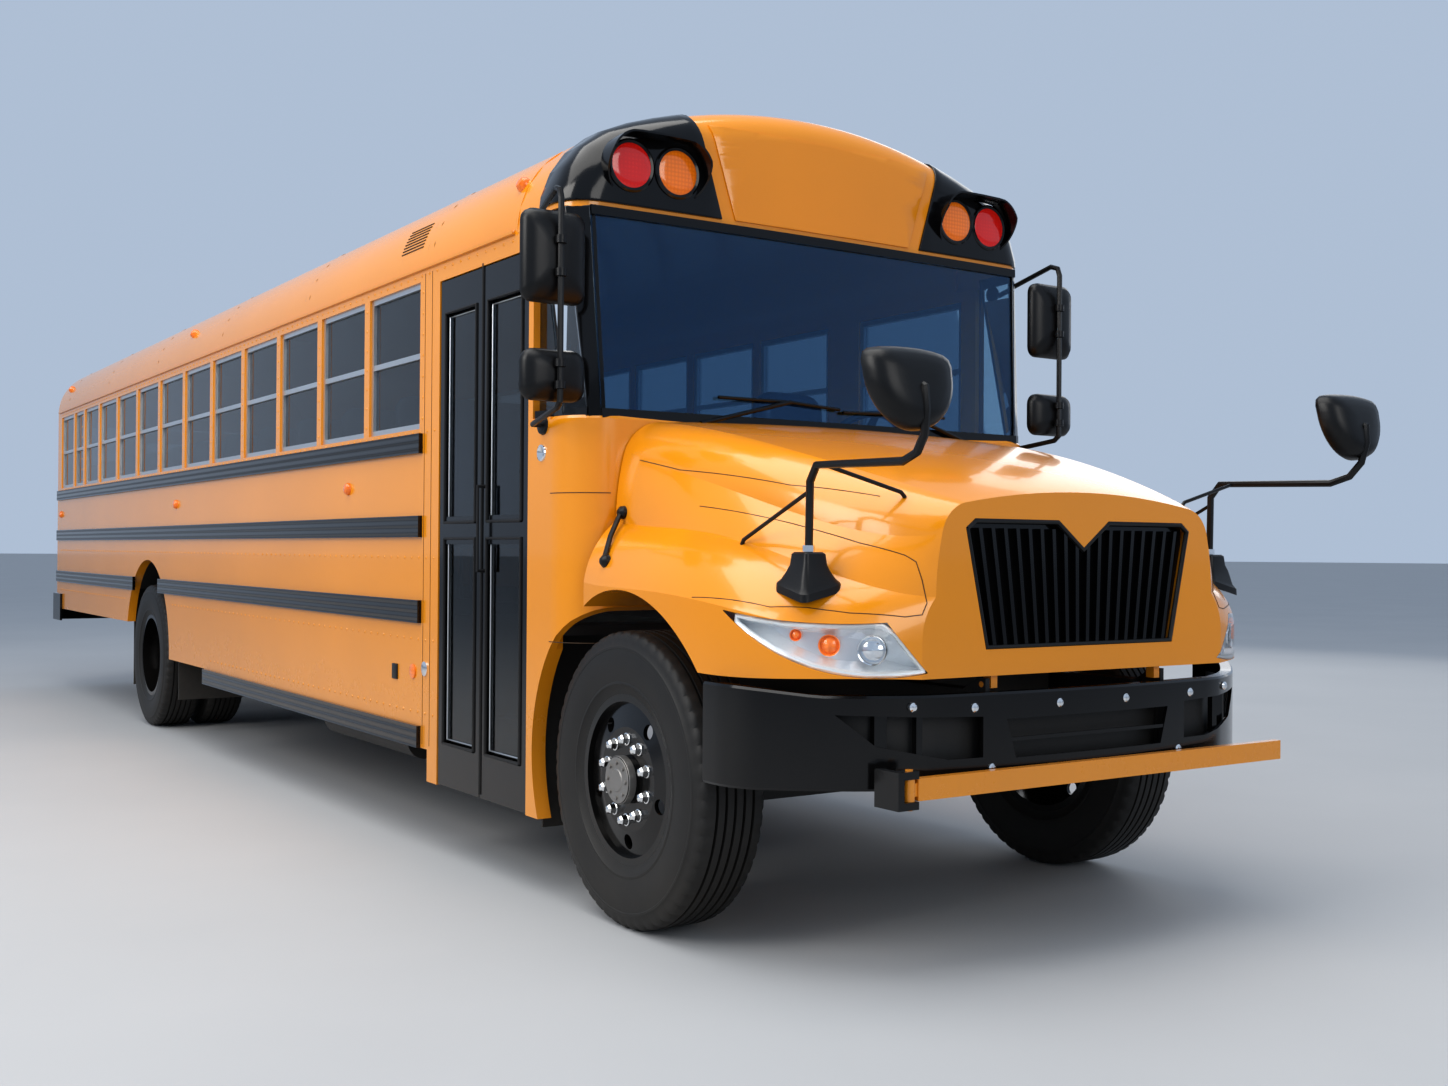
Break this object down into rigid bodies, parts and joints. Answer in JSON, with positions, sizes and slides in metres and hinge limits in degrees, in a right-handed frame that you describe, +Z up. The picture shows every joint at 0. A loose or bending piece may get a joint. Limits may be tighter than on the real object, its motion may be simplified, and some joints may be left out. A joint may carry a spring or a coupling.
{
  "type": "school bus",
  "caption": "Conventional school bus with tilting hood, steered front wheels, dual rear wheels, folding entrance door, rear exit door, stop arm, crossing arm and roof hatches.",
  "frame": {"origin": "centre of the bus's footprint, on the road under its tyres", "axes": "+Z up, -Y towards the front of the bus, +X towards its left-hand side"},
  "size_m": [2.84, 12.3397, 3.218],
  "materials": {
    "body_paint": "gloss yellow-orange enamel",
    "black_paint": "gloss black enamel",
    "frame_paint": "satin black chassis paint",
    "bare_iron": "dark cast iron",
    "bright_frame": "mill finish aluminium",
    "exhaust_steel": "dull steel",
    "clear_glass": "tinted glass",
    "lamp_plastic": "lens plastic",
    "lens_clear": "clear lens with bright reflector",
    "moulded_black": "moulded black plastic",
    "tyre_rubber": "black tyre rubber",
    "flap_rubber": "black rubber sheet",
    "seat_vinyl": "dark blue coated fabric",
    "floor_mat": "dark ribbed flooring",
    "sign_red": "red reflective face, blank"
  },
  "bodies": {
    "chassis": {"frame_rails": "frame_paint", "engine_block": "bare_iron", "rear_axle": "frame_paint", "drive_shaft": "frame_paint", "front_axle": "frame_paint", "leaf_springs": "frame_paint", "fuel_tank": "frame_paint", "exhaust": "exhaust_steel", "floor": "floor_mat", "wheel_housings": "frame_paint", "entry_steps": "floor_mat", "right_wall": "body_paint", "left_wall": "body_paint", "door_frame": "body_paint", "roof": "body_paint", "windshield": "clear_glass", "front_cap": "body_paint", "cowl": "body_paint", "front_bumper": "black_paint", "rear_bumper": "black_paint", "rear_wall": "body_paint", "window_sashes": "bright_frame", "side_glass": "clear_glass", "rub_rails": "black_paint", "signal_lamps": "lamp_plastic", "bench_seats": "seat_vinyl", "driver_seat": "seat_vinyl", "dashboard": "moulded_black", "body_mirrors": "moulded_black", "mud_flaps": "flap_rubber", "stop_arm_bracket": "moulded_black", "arm_mount": "black_paint"},
    "hood_body": {"hood": "body_paint", "grille": "moulded_black", "headlamps": "lens_clear", "hood_mirrors": "moulded_black"},
    "knuckle_left_body": {"knuckle_left": "bare_iron"},
    "knuckle_right_body": {"knuckle_right": "bare_iron"},
    "front_wheel_left": {"front_rim_left": "black_paint", "front_tyre_left": "tyre_rubber"},
    "front_wheel_right": {"front_rim_right": "black_paint", "front_tyre_right": "tyre_rubber"},
    "rear_wheels_left": {"rear_rims_left": "black_paint", "rear_tyres_left": "tyre_rubber"},
    "rear_wheels_right": {"rear_rims_right": "black_paint", "rear_tyres_right": "tyre_rubber"},
    "door_leaf_front": {"entrance_leaf_front": "black_paint", "entrance_glass_front": "clear_glass"},
    "door_leaf_rear": {"entrance_leaf_rear": "black_paint", "entrance_glass_rear": "clear_glass"},
    "exit_door_body": {"exit_door": "body_paint", "exit_glass": "clear_glass"},
    "stop_arm_body": {"stop_arm": "sign_red"},
    "crossing_arm_body": {"crossing_arm": "body_paint"},
    "hatch_front": {"roof_hatch_front": "body_paint"},
    "hatch_rear": {"roof_hatch_rear": "body_paint"}
  },
  "joints": [
    {"name": "hood_tilt", "type": "hinge", "parent": "chassis", "child": "hood_body", "pos_m": [0, -5.705, 0.915], "axis": [1, 0, 0], "range_deg": [0, 60]},
    {"name": "steer_left", "type": "hinge", "parent": "chassis", "child": "knuckle_left_body", "pos_m": [0.88, -4.66, 0.527], "axis": [0, 0, 1], "range_deg": [-42, 42]},
    {"name": "steer_right", "type": "hinge", "parent": "chassis", "child": "knuckle_right_body", "pos_m": [-0.88, -4.66, 0.527], "axis": [0, 0, 1], "range_deg": [-42, 42]},
    {"name": "front_left_spin", "type": "hinge", "parent": "knuckle_left_body", "child": "front_wheel_left", "pos_m": [1.034, -4.66, 0.527], "axis": [1, 0, 0], "continuous": true},
    {"name": "front_right_spin", "type": "hinge", "parent": "knuckle_right_body", "child": "front_wheel_right", "pos_m": [-1.034, -4.66, 0.527], "axis": [1, 0, 0], "continuous": true},
    {"name": "rear_left_spin", "type": "hinge", "parent": "chassis", "child": "rear_wheels_left", "pos_m": [0.889, 2.4, 0.527], "axis": [1, 0, 0], "continuous": true},
    {"name": "rear_right_spin", "type": "hinge", "parent": "chassis", "child": "rear_wheels_right", "pos_m": [-0.889, 2.4, 0.527], "axis": [1, 0, 0], "continuous": true},
    {"name": "entrance_front", "type": "hinge", "parent": "chassis", "child": "door_leaf_front", "pos_m": [-1.189, -3.956, 1.4], "axis": [0, 0, 1], "range_deg": [0, 88]},
    {"name": "entrance_rear", "type": "hinge", "parent": "chassis", "child": "door_leaf_rear", "pos_m": [-1.189, -3.104, 1.4], "axis": [0, 0, -1], "range_deg": [0, 88]},
    {"name": "exit_swing", "type": "hinge", "parent": "chassis", "child": "exit_door_body", "pos_m": [-0.466, 6.087, 1.8], "axis": [0, 0, 1], "range_deg": [0, 110]},
    {"name": "stop_arm_swing", "type": "hinge", "parent": "chassis", "child": "stop_arm_body", "pos_m": [1.234, -2.7, 1.64], "axis": [0, 0, -1], "range_deg": [0, 90]},
    {"name": "crossing_arm_swing", "type": "hinge", "parent": "chassis", "child": "crossing_arm_body", "pos_m": [-0.83, -5.812, 0.622], "axis": [0, 0, -1], "range_deg": [0, 90]},
    {"name": "hatch_front_tilt", "type": "hinge", "parent": "chassis", "child": "hatch_front", "pos_m": [0, -1.705, 3.1683], "axis": [1, 0, 0], "range_deg": [0, 75]},
    {"name": "hatch_rear_tilt", "type": "hinge", "parent": "chassis", "child": "hatch_rear", "pos_m": [0, 3.195, 3.1683], "axis": [1, 0, 0], "range_deg": [0, 75]}
  ],
  "couplings": [
    {"joint": "steer_right", "follows": "steer_left", "ratio": 1},
    {"joint": "entrance_rear", "follows": "entrance_front", "ratio": 1}
  ]
}
